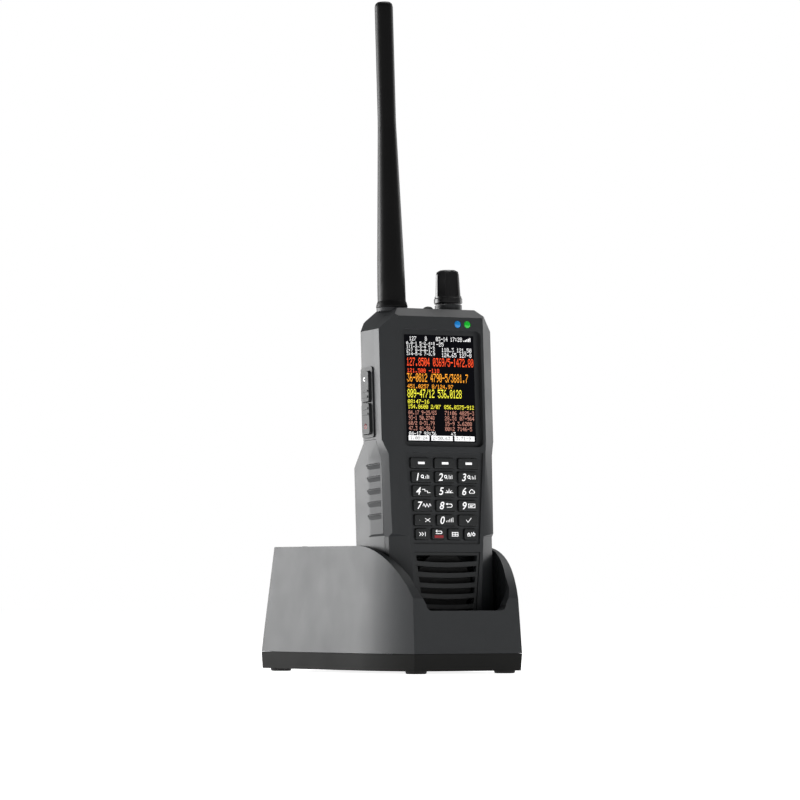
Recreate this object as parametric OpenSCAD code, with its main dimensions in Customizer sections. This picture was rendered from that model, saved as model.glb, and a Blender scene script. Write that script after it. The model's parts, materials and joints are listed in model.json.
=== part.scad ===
// Handheld scanning radio standing in its desktop charging cradle.
// Row frame: +Z up, the radio faces -Y, origin under the middle of the cradle at the
// bottom of its feet. The radio is drawn upright in its own frame (front face at y = 0,
// bottom at z = 0, depth along +y) and in_radio() leans it back into the cradle.

/* [Radio body] */
// Width across the side walls
radio_w = 62; // [61:0.5:62.5]
// Height of the body without antenna and knob
radio_h = 158; // [156:1:160]
// Width of the flat front face above the waist
face_w = 46.8; // [46.5:0.1:47.2]
// Depth of the long front bevels
bevel_depth = 5.6; // [5.2:0.1:5.8]
// Distance from the front face to the joint between front and rear case
seam_y = 10.6; // [10.4:0.1:10.8]
// Depth of the body above the battery
upper_depth = 26.5; // [26:0.5:27]
// Depth of the body at the battery
lower_depth = 34.8; // [34.4:0.2:35.2]
// Backward lean in the cradle, degrees
lean = 3; // [2.5:0.5:3.5]

/* [Antenna and controls] */
// Length of the rubber whip above the top of the body
whip_l = 147; // [140:1:150]
// Whip diameter at the collar
whip_d = 13.4; // [13:0.2:13.6]
// Knob skirt diameter
knob_d = 13.5; // [13:0.1:14]
// Knob height
knob_h = 16.2; // [15.6:0.2:16.6]
// Travel of a front key
key_travel = 0.5; // [0.3:0.1:0.6]

/* [Cradle] */
// Width of the cradle at the top of its base
cradle_w = 76; // [75.5:0.5:77]
// Depth of the cradle at the top of its base
cradle_d = 130; // [129:1:132]
// Height of the flat rim
rim_z = 60; // [59.5:0.5:61]
// Height of the two front corners
corner_z = 35.2; // [35:0.2:36]
// Height of the lip below the speaker
lip_z = 29.5; // [29:0.5:30.5]
// Width of the front face at the base
front_w = 59.4; // [59:0.2:60]

/* [Hidden] */
$fn = 48;
eps = 0.01;
wide = 400;

// Radio body derived sizes
half_w = radio_w / 2;
face_half = face_w / 2;
front_wall = 3.6;
side_wall = 2.2;
waist_top = 95.5;
grip_top = 88.5;
grip_low = 51.5;
grip_seam = 8.2;
grip_half = 28.6;
grip_bevel = 3.4;
grip_flare = 1.7;
pad_proud = 0.6;
foot_bevel = 5.6;
face_half_bottom = face_half - 6.3;
top_chamfer_x = 9.5;
top_chamfer_z = 10;
top_bevel = 4.2;
top_wall = 2.4;
foot_chamfer = 4;
rear_side_y = 22.4;
battery_top = 96;
battery_bulge_z = 84;
shell_gap = 0.2;
cap_y = 5.6;
cap_z = radio_h - 3.4;
plate_half = 25;
plate_y = 12.2;

// Display
display_z = 119.9;
recess_w = 44;
recess_h = 55.4;
recess_depth = 2.2;
recess_r = 2.8;
glass_w = 46;
glass_h = 57;
glass_t = 1.2;
screen_w = 37.5;
screen_h = 49.8;
lcd_y = recess_depth + glass_t + 0.1;

// Keypad
pad_top_z = 89.5;
pad_bottom_z = 46.2;
pad_top_half = 21.6;
pad_bottom_half = 18.2;
pad_depth = 0.8;
key_rows_z = [84.3, 77.8, 71.1, 64.3, 57.4, 50.8];
key_h = 5.1;
soft_h = 4.8;
key_gap = 1.65;
row_w_top = 37.7;
row_w_step = 0.7;
key_fit = 0.2;
key_proud = 0.35;
key_corner = 1.3;
key_flange = 0.5;
flange_y = front_wall + 0.25;
flange_t = 0.8;

// Speaker grille
grille_top_z = 42.4;
grille_bottom_z = 13.3;
grille_top_half = 18.4;
grille_bottom_half = 15.2;
slat_first_z = 37.3;
slat_pitch = 5;
slat_h = 2.2;
slat_sag = 0.9;
slats = 5;

// Status lights
light_x = [9.4, 14.8];
light_z = 150.5;
light_r = 1.8;

// Top controls, placed along the rear case's top
controls_y = 12.9;
whip_x = -19;
jack_x = 1;
knob_x = 12.4;
boss_d = 12.9;
boss_h = 2.8;
knob_gap = 0.6;
knob_turned = -93;
socket_r = 3.1;
thread_r = 3;
fit_gap = 0.05;
jack_r = 1.8;

// Side buttons on the left wall
bezel_y = 16.8;
bezel_w = 10.4;
bezel_low_z = 97.2;
bezel_high_z = 130.7;
bezel_proud = 0.7;
side_button_w = 6.8;
side_button_h = 14.4;
side_button_z = [121.4, 106.1];
side_proud = 1.9;
side_travel = 0.6;

// Port on the right wall
port_y = 16.8;
port_z = 116;
port_w = 7;
port_h = 13;
cover_t = 1.4;
cover_w = 8.6;
hinge_r = 0.7;
cover_hinge_z = 125.5;

// Battery and its latch
cell_r = 8.2;
cell_l = 66;
slot_first_z = 84.9;
slot_pitch = 5.95;
slot_n = 5;
slot_h = 2.8;
slot_y = 9.6;
slot_l = 11;
slot_depth = 1;
pad_angle = 8.5;
slot_slant = 1.5;
latch_z = 101.5;
latch_w = 16;
latch_h = 6.4;
latch_travel = 2.5;
tongue_w = 8;

// Belt clip on the back
clip_z = 142;
clip_w = 20;
clip_pin_r = 1.2;
clip_pin_y = upper_depth + 4.2;
clip_gap = 2.4;
clip_l = 42;
clip_t = 2;
clip_ear = 3;

// Case screws
screw_x = 23.5;
screw_z = [104, 148];
screw_r = 1.1;
screw_head_r = 2.1;
screw_seat_y = 22.2;
boss_r = 2.6;

// Place of the radio in the cradle
radio_y = -48.1;
radio_z = 14.7;

// Cradle derived sizes
feet_h = 1.3;
base_top = 9.3;
base_draft = 0.6;
half_cw = cradle_w / 2;
half_cd = cradle_d / 2;
side_draft = 3.2;
front_draft = 4.6;
back_draft = 7.5;
turn_y = -29;
turn_run = half_cd + turn_y;
turn_in = half_cw - front_w / 2;
turn_r = (turn_run * turn_run + turn_in * turn_in) / (2 * turn_in);
turn_a = asin(turn_run / turn_r);
turn_steps = 8;
rim_front_y = -half_cd + 2.3;
arc_y = -22;
arc_run = arc_y - rim_front_y;
arc_drop = rim_z - corner_z;
arc_r = (arc_run * arc_run + arc_drop * arc_drop) / (2 * arc_drop);
pocket_half = radio_w / 2 + 1.2;
pocket_floor = 0.25;
pocket_back = lower_depth + 1.2;
front_pocket_floor_z = 15.2;
notch_half = 21.8;
notch_top_half = 23.6;
notch_r = 3;
bay_y = 27;
bay_w = 62;
bay_d = 25.5;
bay_floor_z = 14;
light_deck_x = 22;
light_deck_y = 50;
foot_r = 5;
foot_front = [24.4, -57.8];
foot_rear = [31, 57.5];
socket_z = 19;
tray_floor = feet_h + 2;
hollow_top = 11.2;
board_z = 5.2;
board_t = 1.4;
base_screw_x = 27;
base_screw_y = [-38, 38];
base_screw_r = 1.4;
contact_x = [-9, 0, 9];
contact_y = 21;

// ---------------------------------------------------------------- helpers

module in_radio() {
    translate([0, radio_y, radio_z]) rotate([-lean, 0, 0]) children();
}

// Flat outline in x and z, extruded from y0 to y1
module face_prism(y0, y1) {
    translate([0, y1, 0]) rotate([90, 0, 0]) linear_extrude(y1 - y0) children();
}

// Flat outline in y and z, extruded from x0 to x1
module side_prism(x0, x1) {
    translate([x0, 0, 0]) rotate([90, 0, 90]) linear_extrude(x1 - x0) children();
}

module slab(z) {
    translate([0, 0, z]) linear_extrude(eps) children();
}

module rounded(w, h, r) {
    square([w - 2 * r, h], center = true);
    square([w, h - 2 * r], center = true);
    for (sx = [-1, 1], sy = [-1, 1])
        translate([sx * (w / 2 - r), sy * (h / 2 - r)]) circle(r);
}

module trapezoid(half_low, half_high, low, high) {
    polygon([[-half_low, low], [half_low, low], [half_high, high], [-half_high, high]]);
}

module box(x0, x1, y0, y1, z0, z1) {
    translate([x0, y0, z0]) cube([x1 - x0, y1 - y0, z1 - z0]);
}

// ---------------------------------------------------------------- radio sections

module front_section(face, side, bevel, flare) {
    polygon([
        [-face, 0], [face, 0], [side, bevel],
        [side + flare, seam_y], [-side - flare, seam_y], [-side, bevel]
    ]);
}

// Outline of the body seen from the front, with its cut corners
module body_outline() {
    polygon([
        [-half_w + foot_chamfer, 0], [half_w - foot_chamfer, 0],
        [half_w, foot_chamfer],
        [half_w, radio_h - top_chamfer_z], [half_w - top_chamfer_x, radio_h],
        [-half_w + top_chamfer_x, radio_h], [-half_w, radio_h - top_chamfer_z],
        [-half_w, foot_chamfer]
    ]);
}

// Outline of the body seen from the side, with its sloped top edges
module body_profile(back) {
    polygon([
        [0, 3], [2.5, 0], [back - 3, 0], [back, 3],
        [back, radio_h - 4.5], [back - 3.5, radio_h],
        [top_bevel, radio_h], [0, radio_h - top_bevel]
    ]);
}

// ---------------------------------------------------------------- radio shells

// The front face narrows evenly below the display
function face_at(z) = face_half_bottom + (face_half - 0.6 - face_half_bottom) * z / grip_top;

module front_outer() {
    intersection() {
        union() {
            translate([0, 0, waist_top]) linear_extrude(radio_h - waist_top)
                front_section(face_half, half_w, bevel_depth, 0);
            hull() {
                slab(waist_top) front_section(face_half, half_w, bevel_depth, 0);
                slab(grip_top) front_section(face_at(grip_top), grip_half, grip_bevel, grip_flare);
            }
            hull() {
                slab(grip_top) front_section(face_at(grip_top), grip_half, grip_bevel, grip_flare);
                slab(grip_low) front_section(face_at(grip_low), grip_half - 0.6, grip_bevel - 0.2,
                                             grip_flare + 0.6);
            }
            hull() {
                slab(grip_low) front_section(face_at(grip_low), grip_half - 0.6, grip_bevel - 0.2,
                                             grip_flare + 0.6);
                slab(grip_low - 1.6) front_section(face_at(grip_low), grip_half, foot_bevel, 0.9);
            }
            hull() {
                slab(grip_low - 1.6) front_section(face_at(grip_low), grip_half, foot_bevel, 0.9);
                slab(0) front_section(face_half_bottom, grip_half - 0.4, foot_bevel, 0.9);
            }
        }
        face_prism(-1, wide / 4) body_outline();
        side_prism(-wide / 2, wide / 2) body_profile(lower_depth + 10);
    }
}

module front_cavity() {
    ceiling = radio_h - 4.6;
    slope_x = half_w - top_chamfer_x + 1.5;
    intersection() {
        translate([0, 0, grip_top]) linear_extrude(radio_h)
            polygon([
                [-face_half + 1.2, front_wall], [face_half - 1.2, front_wall],
                [half_w - side_wall, 6.6], [half_w - side_wall, seam_y + 1],
                [-half_w + side_wall, seam_y + 1], [-half_w + side_wall, 6.6]
            ]);
        face_prism(0, lower_depth) polygon([
            [-half_w, 0], [half_w, 0], [half_w, radio_h - top_chamfer_z - 3.2],
            [slope_x, ceiling], [-slope_x, ceiling], [-half_w, radio_h - top_chamfer_z - 3.2]
        ]);
    }
    translate([0, 0, 2.4]) linear_extrude(grip_top - 2.4 + eps)
        grip_cavity();
}

// Side view of what the battery's side walls take from the front case
module grip_side_cut() {
    polygon([
        [seam_y, battery_top], [seam_y, battery_top - 1], [grip_seam, battery_bulge_z],
        [grip_seam, -1],
        [lower_depth, -1], [lower_depth, battery_top]
    ]);
}

module grip_cavity() {
    polygon([
        [-grip_half + 8.4, front_wall], [grip_half - 8.4, front_wall],
        [plate_half - 1.3, 6], [plate_half - 1.3, seam_y + 1],
        [-plate_half + 1.3, seam_y + 1], [-plate_half + 1.3, 6]
    ]);
}

function row_w(row) = row_w_top - row_w_step * row;
function key_w(row, count) = (row_w(row) - key_gap * (count - 1)) / count;
function key_x(row, count, col) =
    -row_w(row) / 2 + key_w(row, count) / 2 + col * (key_w(row, count) + key_gap);
function row_count(row) = row == 5 ? 4 : 3;
function row_h(row) = row == 0 ? soft_h : key_h;

module key_outline(w, h, grow) {
    x = w / 2 + grow;
    z = h / 2 + grow;
    c = key_corner;
    polygon([[-x, -z + 0.5], [-x + 0.5, -z], [x - 0.5, -z], [x, -z + 0.5],
             [x, z - c], [x - c, z], [-x + 0.5, z], [-x, z - 0.5]]);
}

module key_windows() {
    for (row = [0:5], col = [0:row_count(row) - 1])
        translate([key_x(row, row_count(row), col), 0, key_rows_z[row]])
            face_prism(-1, front_wall + 1) key_outline(key_w(row, row_count(row)), row_h(row), key_fit);
}

module front_case() {
    color("#2f3133") in_radio() {
        difference() {
            front_outer();
            front_cavity();
            for (sx = [-1, 1])
                side_prism(sx > 0 ? plate_half : -wide / 4, sx > 0 ? wide / 4 : -plate_half)
                    grip_side_cut();
            box(-wide / 4, wide / 4, cap_y - shell_gap / 2, wide / 4, cap_z, radio_h + 1);
            box(-half_w + 9, half_w - 9, 7.2, wide / 4, radio_h - 9, radio_h + 1);
            translate([0, 0, display_z]) {
                face_prism(-1, recess_depth + eps) rounded(recess_w, recess_h, recess_r);
                face_prism(recess_depth, front_wall + 1) rounded(glass_w + 0.4, glass_h + 0.4, recess_r);
            }
            face_prism(-1, pad_depth)
                trapezoid(pad_bottom_half, pad_top_half, pad_bottom_z, pad_top_z);
            key_windows();
            face_prism(-1, 1.4)
                trapezoid(grille_bottom_half, grille_top_half, grille_bottom_z, grille_top_z);
            face_prism(-1, front_wall + 1)
                trapezoid(grille_bottom_half - 1.2, grille_top_half - 1.2,
                          grille_bottom_z + 1.2, grille_top_z - 1.2);
            for (x = light_x)
                translate([x, -1, light_z]) rotate([-90, 0, 0]) cylinder(h = 8, r = light_r);
        }
        for (sx = [-1, 1], z = screw_z)
            translate([sx * screw_x, front_wall - 0.1, z]) rotate([-90, 0, 0]) difference() {
                cylinder(h = seam_y - front_wall, r = boss_r);
                translate([0, 0, 1.5]) cylinder(h = seam_y, r = screw_r - 0.1);
            }
    }
}

module rear_outer() {
    intersection() {
        union() {
            translate([0, 0, battery_top + shell_gap]) linear_extrude(radio_h)
                polygon([
                    [-half_w, seam_y], [half_w, seam_y], [half_w, rear_side_y],
                    [half_w - 4.2, upper_depth], [-half_w + 4.2, upper_depth],
                    [-half_w, rear_side_y]
                ]);
            box(-half_w, half_w, cap_y, seam_y + 1, cap_z + shell_gap, radio_h + 1);
        }
        face_prism(-1, wide / 4) body_outline();
        side_prism(-wide / 2, wide / 2) body_profile(upper_depth);
    }
}

module rear_case() {
    color("#2b2d2e") in_radio() difference() {
        union() {
            rear_outer();
            box(-plate_half, plate_half, seam_y, plate_y, 2.6, battery_top + 1);
            translate([knob_x, controls_y, radio_h - 1]) cylinder(h = boss_h + 1, d = boss_d);
            translate([whip_x, controls_y, radio_h - 1]) cylinder(h = 1.6, d = 14.6);
        }
        difference() {
            translate([0, 0, battery_top + 2.4]) linear_extrude(radio_h - battery_top - 4.8)
                polygon([
                    [-half_w + side_wall, seam_y - 1], [half_w - side_wall, seam_y - 1],
                    [half_w - side_wall, rear_side_y - 1],
                    [half_w - side_wall - 3, upper_depth - 2.4],
                    [-half_w + side_wall + 3, upper_depth - 2.4],
                    [-half_w + side_wall, rear_side_y - 1]
                ]);
            for (sx = [-1, 1], z = screw_z)
                translate([sx * screw_x, seam_y, z]) rotate([-90, 0, 0]) cylinder(h = 20, r = 3);
            box(-half_w, half_w, seam_y - 2, upper_depth, radio_h - 12, radio_h + 1);
        }
        box(-half_w + 9, half_w - 9, 7.2, upper_depth - 3.6, radio_h - 13, radio_h - top_wall);
        translate([whip_x, controls_y, radio_h - 20]) cylinder(h = 30, r = socket_r + 0.2);
        translate([knob_x, controls_y, radio_h - 20]) cylinder(h = 30, r = 3.6);
        translate([jack_x, controls_y, radio_h - 20]) cylinder(h = 30, r = jack_r + 0.9);
        box(-half_w - 1, -half_w + 3, bezel_y - bezel_w / 2 + 0.6, bezel_y + bezel_w / 2 - 0.6,
            bezel_low_z + 1, bezel_high_z - 1);
        box(half_w - 3, half_w + 1, port_y - port_w / 2, port_y + port_w / 2,
            port_z - port_h / 2, port_z + port_h / 2);
        box(half_w - cover_t - 0.2, half_w + 1, port_y - cover_w / 2 - 0.3, port_y + cover_w / 2 + 0.3,
            port_z - port_h / 2 - 2.2, cover_hinge_z + 1.6);
        for (sx = [-1, 1], z = screw_z)
            translate([sx * screw_x, seam_y - 1, z]) rotate([-90, 0, 0]) {
                cylinder(h = 30, r = screw_r + 0.1);
                translate([0, 0, screw_seat_y - seam_y + 1]) cylinder(h = 30, r = screw_head_r + 0.2);
            }
        box(-latch_w / 2 - 0.3, latch_w / 2 + 0.3, upper_depth - 1.8, upper_depth + 1,
            latch_z - latch_h / 2 - 0.3, latch_z + latch_h / 2 + latch_travel + 0.4);
        latch_slot();
    }
}

// Slot in the case and the battery for the tongue of the latch
module latch_slot() {
    box(-tongue_w / 2 - 0.3, tongue_w / 2 + 0.3, upper_depth - 1.8, upper_depth + 1,
        battery_top - 1.6, latch_z);
}

// Cross section of the battery: mid = 0 at its top, where it meets the rear case, and 1 at the grip
module battery_section(mid) {
    front = seam_y + shell_gap + (grip_seam - seam_y) * mid;
    right = [
        [half_w - 1.9 * mid, front],
        [half_w - 0.3 * mid, 19.5],
        [half_w - 0.2 * mid, rear_side_y + 9.4 * mid],
        [half_w - 4.2 + 0.9 * mid, upper_depth + (lower_depth - upper_depth) * mid]
    ];
    mirrored(right);
}

// A half outline joined to its mirror image
module mirrored(right) {
    left = [for (i = [len(right) - 1:-1:0]) [-right[i][0], right[i][1]]];
    polygon(concat(right, left));
}

// Depth of the seam between the battery and the front case at this height
function seam_at(z) =
    grip_seam + max(0, z - battery_bulge_z) * (seam_y - grip_seam) / (battery_top - battery_bulge_z);

// Raised panel on each side of the battery, level with the front case beside it
module side_pads() {
    pad_top = battery_top - 3;
    for (sx = [0, 1]) mirror([sx, 0, 0]) hull() {
        slab(pad_top) pad_section(seam_at(pad_top) + shell_gap + 0.1, 0);
        slab(grip_top) pad_section(seam_at(grip_top) + shell_gap + 0.1, pad_proud);
        slab(battery_bulge_z) pad_section(grip_seam + shell_gap, pad_proud);
        slab(grip_low) pad_section(grip_seam + shell_gap, pad_proud);
        slab(grip_low - 1) pad_section(grip_seam + shell_gap, 0);
    }
}

module pad_section(front, proud) {
    polygon([[half_w - 4, front], [half_w - 1.9 + proud, front], [half_w - 0.3 + proud, 19.2],
             [half_w - 0.3, 19.9], [half_w - 4, 19.9]]);
}

// Wedge slots along the panel: deep at the top edge, running out to nothing at the bottom
module side_slots() {
    surface = half_w - 1.7 + pad_proud;
    for (i = [0:slot_n - 1], sx = [0, 1])
        mirror([sx, 0, 0]) translate([surface, slot_y, slot_first_z - i * slot_pitch])
            rotate([0, 0, -pad_angle]) rotate([90 - slot_slant, 0, 0]) mirror([0, 0, 1])
                linear_extrude(slot_l) polygon([
                    [1.5, 0.3], [-slot_depth, 0], [-slot_depth, -0.5], [0.05, -slot_h], [1.5, -slot_h]
                ]);
}

module battery_case() {
    color("#303234") in_radio() difference() {
        intersection() {
            union() {
                translate([0, 0, battery_top - 1]) linear_extrude(1) battery_section(0);
                hull() {
                    slab(battery_top - 1) battery_section(0);
                    slab(battery_bulge_z) battery_section(1);
                }
                translate([0, 0, 20]) linear_extrude(battery_bulge_z - 20) battery_section(1);
                hull() {
                    slab(20 - eps) battery_section(1);
                    slab(0) battery_section(0.8);
                }
                side_pads();
            }
            face_prism(-1, wide / 4) body_outline();
        }
        box(-plate_half - 0.3, plate_half + 0.3, 0, plate_y + 0.2, 2, battery_top + 1);
        box(-plate_half - 0.3, plate_half + 0.3, 0, seam_y + shell_gap, -1, 3);
        box(-plate_half, plate_half, plate_y + 1.8, lower_depth - 2.5, 3, battery_bulge_z + 1);
        side_slots();
        latch_slot();
        for (x = contact_x)
            box(x - 3, x + 3, contact_y - 4, contact_y + 4, -1, 0.4);
    }
}

module battery_cells() {
    color("#3d6f9c") in_radio() for (x = [-8.8, 8.8])
        translate([x, plate_y + 2.2 + cell_r, 8]) {
            cylinder(h = cell_l, r = cell_r);
            translate([0, 0, cell_l]) cylinder(h = 1, r = 2.8);
        }
}

module battery_contacts() {
    color("#c9a35a") in_radio() for (x = contact_x)
        box(x - 2.9, x + 2.9, contact_y - 3.9, contact_y + 3.9, 0.1, 0.4);
}

module battery_latch() {
    color("#26282a") in_radio() difference() {
        union() {
            box(-latch_w / 2, latch_w / 2, upper_depth - 1.6, upper_depth + 0.5,
                latch_z - latch_h / 2, latch_z + latch_h / 2);
            box(-latch_w / 2 + 2, latch_w / 2 - 2, upper_depth, upper_depth + 1.4,
                latch_z - 0.8, latch_z + 0.8);
            box(-tongue_w / 2, tongue_w / 2, upper_depth - 1.6, upper_depth - 0.3,
                battery_top - 1.2, latch_z);
        }
        for (sx = [-1, 1])
            box(sx * 5 - 0.4, sx * 5 + 0.4, upper_depth + 0.2, upper_depth + 2,
                latch_z - latch_h, latch_z + latch_h);
    }
}

// Two strips that seal the long seams from inside
module case_gasket() {
    outer = half_w - side_wall - shell_gap / 4;
    color("#1a1a1b") in_radio() for (sx = [-1, 1])
        translate([sx * (outer - 0.75), seam_y, (battery_top + radio_h) / 2 - 5])
            cube([1.5, 2, radio_h - battery_top - 16], center = true);
}

module case_screws() {
    color("#1c1c1d") in_radio() for (sx = [-1, 1], z = screw_z)
        translate([sx * screw_x, screw_seat_y, z]) rotate([-90, 0, 0]) difference() {
            union() {
                translate([0, 0, -16.4]) cylinder(h = 17, r = screw_r - 0.15);
                cylinder(h = 2, r = screw_head_r);
            }
            translate([0, 0, 1]) cylinder(h = 3, r = 1, $fn = 6);
        }
}

// ---------------------------------------------------------------- display and boards

module display_window() {
    color("#101316") in_radio() translate([0, 0, display_z])
        face_prism(recess_depth + 0.05, recess_depth + glass_t) rounded(glass_w, glass_h, recess_r);
}

module display_panel() {
    color("#0a1430") in_radio() {
        translate([0, 0, display_z]) face_prism(lcd_y, lcd_y + 1.8)
            square([screen_w + 1.5, screen_h + 1.5], center = true);
        box(-12, 12, lcd_y + 0.4, lcd_y + 1.4, display_z - screen_h / 2 - 1.6, display_z - screen_h / 2);
    }
}

module main_board() {
    color("#1d5a36") in_radio() {
        difference() {
            box(-23, 23, 7.4, 8.6, 46, 152);
            for (sx = [-1, 1], z = screw_z)
                translate([sx * screw_x, 0, z]) rotate([-90, 0, 0]) cylinder(h = 20, r = 3);
        }
        box(-21, 5, 5.9, 7.5, 66.6, 88);
        box(-14, 14, 8.5, 9.3, 100, 126);
        box(half_w - 9.8, half_w - 8.4, 8.5, port_y + 3, port_z - 6, port_z + 6);
    }
}

module keypad_mat() {
    color("#8b8d90") in_radio() {
        face_prism(flange_y + flange_t + key_travel + 0.1, flange_y + flange_t + key_travel + 0.7)
            trapezoid(pad_bottom_half + 1, pad_top_half + 0.8, pad_bottom_z - 0.6, pad_top_z + 0.4);
    }
}

module speaker_grille() {
    color("#232527") in_radio() {
        difference() {
            face_prism(0.5, 1.35)
                trapezoid(grille_bottom_half - 0.15, grille_top_half - 0.15,
                          grille_bottom_z + 0.15, grille_top_z - 0.15);
            face_prism(-1, 3)
                trapezoid(grille_bottom_half - 1.5, grille_top_half - 1.5,
                          grille_bottom_z + 1.5, grille_top_z - 1.5);
        }
        for (i = [0:slats - 1])
            intersection() {
                slat(slat_first_z - i * slat_pitch);
                face_prism(0, 4)
                    trapezoid(grille_bottom_half - 1.4, grille_top_half - 1.4,
                              grille_bottom_z + 1.4, grille_top_z - 1.4);
            }
    }
}

// One bowed bar of the grille: a slice of a large ring that sags in its middle
module slat(z) {
    bow_r = (grille_top_half * grille_top_half) / (2 * slat_sag);
    face_prism(0.45, 3.2) translate([0, z - slat_sag + bow_r]) difference() {
        circle(bow_r + slat_h / 2, $fn = 160);
        circle(bow_r - slat_h / 2, $fn = 160);
        translate([-wide, -slat_h]) square([2 * wide, 3 * wide]);
    }
}

module speaker() {
    color("#3a3b3d") in_radio() translate([0, front_wall + 0.2, 27.5]) rotate([-90, 0, 0]) {
        cylinder(h = 1.6, r = 15);
        cylinder(h = 5, r = 8);
    }
}

module status_lights() {
    color("#1a78c0") in_radio() for (x = light_x)
        translate([x, 0, light_z]) {
            rotate([-90, 0, 0]) cylinder(h = 4, r = light_r - 0.1);
            intersection() {
                translate([0, 0.9, 0]) sphere(r = 2);
                box(-3, 3, -2, eps, -3, 3);
            }
        }
}

// ---------------------------------------------------------------- antenna

module antenna_socket() {
    color("#b8965a") in_radio() translate([whip_x, controls_y, radio_h]) difference() {
        union() {
            intersection() {
                translate([0, 0, -top_wall - 2]) cylinder(h = 2, r = 5);
                translate([-thread_r + 0.1, -5, -8]) cube(10);
            }
            translate([0, 0, -9]) cylinder(h = 13, r = thread_r);
        }
        translate([0, 0, -7]) cylinder(h = 15, r = 1.6);
    }
}

module antenna_ferrule() {
    color("#c8ab6a") in_radio() translate([whip_x, controls_y, radio_h]) {
        translate([0, 0, -4]) cylinder(h = 12.9, r = 1);
        translate([0, 0, 6.1]) cylinder(h = 1, r = 2.4);
    }
}

module antenna_whip() {
    r0 = whip_d / 2;
    color("#0d0d0e") in_radio() translate([whip_x, controls_y, radio_h]) difference() {
        rotate_extrude() polygon([
            [0, 0.8], [7.5, 0.8], [7.5, 1.3], [7.2, 2.6], [6.95, 3.4], [r0, 3.7],
            [r0 - 0.1, 12], [r0 - 0.35, 23.5], [r0 - 2.25, 86], [r0 - 2.35, 92],
            [r0 - 2.35, whip_l - 2.4], [r0 - 2.7, whip_l - 0.9], [r0 - 3.7, whip_l], [0, whip_l]
        ]);
        translate([0, 0, -1]) cylinder(h = 6.9, r = thread_r + fit_gap);
        translate([0, 0, -1]) cylinder(h = 8.2, r = 2.4 + fit_gap);
        translate([0, 0, -1]) cylinder(h = 10.2, r = 1 + fit_gap);
    }
}

// ---------------------------------------------------------------- knob and jack

module encoder_body() {
    color("#8d9093") in_radio() translate([knob_x, controls_y, radio_h]) difference() {
        union() {
            translate([-5.4, -3.8, -top_wall - 7]) cube([10.8, 8.4, 7]);
            translate([0, 0, -4]) cylinder(h = 5.6, r = 3.4);
        }
        translate([0, 0, -9.2]) cylinder(h = 20, r = 1.5 + fit_gap);
    }
}

module encoder_shaft() {
    color("#a9abad") in_radio() translate([knob_x, controls_y, radio_h])
        translate([0, 0, -8]) cylinder(h = 16.6, r = 1.5);
}

// Six wide finger flats between narrow ridges, above a round skirt
module volume_knob() {
    top_r = 5.9;
    flat_w = 4.4;
    color("#0e0e0f") in_radio() translate([knob_x, controls_y, radio_h + boss_h + knob_gap]) difference() {
        rotate_extrude() polygon([
            [0, 0], [knob_d / 2 - 0.4, 0], [knob_d / 2, 0.5], [knob_d / 2, 2.4],
            [knob_d / 2 - 0.4, 2.9], [6.4, 3.2], [top_r, knob_h - 2],
            [top_r - 0.9, knob_h - 0.7], [top_r - 2.2, knob_h], [0, knob_h]
        ]);
        for (a = [0:60:359])
            rotate([0, 0, a + knob_turned]) translate([5.7, -flat_w / 2, 3.6]) rotate([0, -2.6, 0])
                cube([3, flat_w, knob_h]);
        rotate([0, 0, knob_turned - 90]) translate([-0.5, 2.6, knob_h - 1]) cube([1, 4, 2]);
        translate([0, 0, -1]) cylinder(h = 6.4, r = 1.5 + fit_gap);
    }
}

module earphone_socket() {
    color("#6f7275") in_radio() translate([jack_x, controls_y, radio_h - 12]) difference() {
        cylinder(h = 12 - top_wall, r = 3.4);
        translate([0, 0, 2]) cylinder(h = 9, r = jack_r);
    }
}

module jack_cap() {
    color("#151516") in_radio() translate([jack_x, controls_y, radio_h]) {
        rotate_extrude() polygon([[0, 0.2], [2.5, 0.2], [2.5, 0.7], [2.2, 1.3], [1.5, 1.8], [0, 2.1]]);
        translate([0, 0, -2.2]) cylinder(h = 2.6, r = 1.5);
    }
}

// ---------------------------------------------------------------- side controls

module side_button_frame() {
    mid_z = (bezel_low_z + bezel_high_z) / 2;
    h = bezel_high_z - bezel_low_z;
    color("#222425") in_radio() difference() {
        translate([0, bezel_y, mid_z]) union() {
            side_prism(-half_w - bezel_proud, -half_w - 0.05) rounded(bezel_w, h, 1.4);
            side_prism(-half_w - 0.1, -half_w + 1.6) rounded(bezel_w - 1.5, h - 2.4, 0.8);
        }
        for (z = side_button_z)
            translate([0, bezel_y, z]) side_prism(-half_w - 2, -half_w + 3)
                square([side_button_w + 0.4, side_button_h + 0.4], center = true);
    }
}

// ribs is 1 for ribs near its top and -1 for ribs near its bottom
module side_button(z, ribs) {
    color("#1e2021") in_radio() translate([0, bezel_y, z]) {
        side_prism(-half_w - side_proud, -half_w + 1.8)
            rounded(side_button_w, side_button_h, 1.2);
        side_prism(-half_w + 1.7, -half_w + 2.5)
            square([side_button_w + 1.2, side_button_h - 0.2], center = true);
        for (dz = [2.2, 4.9])
            translate([0, 0, ribs * dz]) side_prism(-half_w - side_proud - 0.35, -half_w - side_proud + 0.3)
                square([side_button_w - 1.6, 1], center = true);
    }
}

module usb_socket() {
    color("#9a9da0") in_radio() difference() {
        box(half_w - 8.4, half_w - 2.1, port_y - 1.9, port_y + 1.9, port_z - 5, port_z + 5);
        box(half_w - 7.6, half_w, port_y - 1.3, port_y + 1.3, port_z - 4.2, port_z + 4.2);
    }
}

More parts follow.
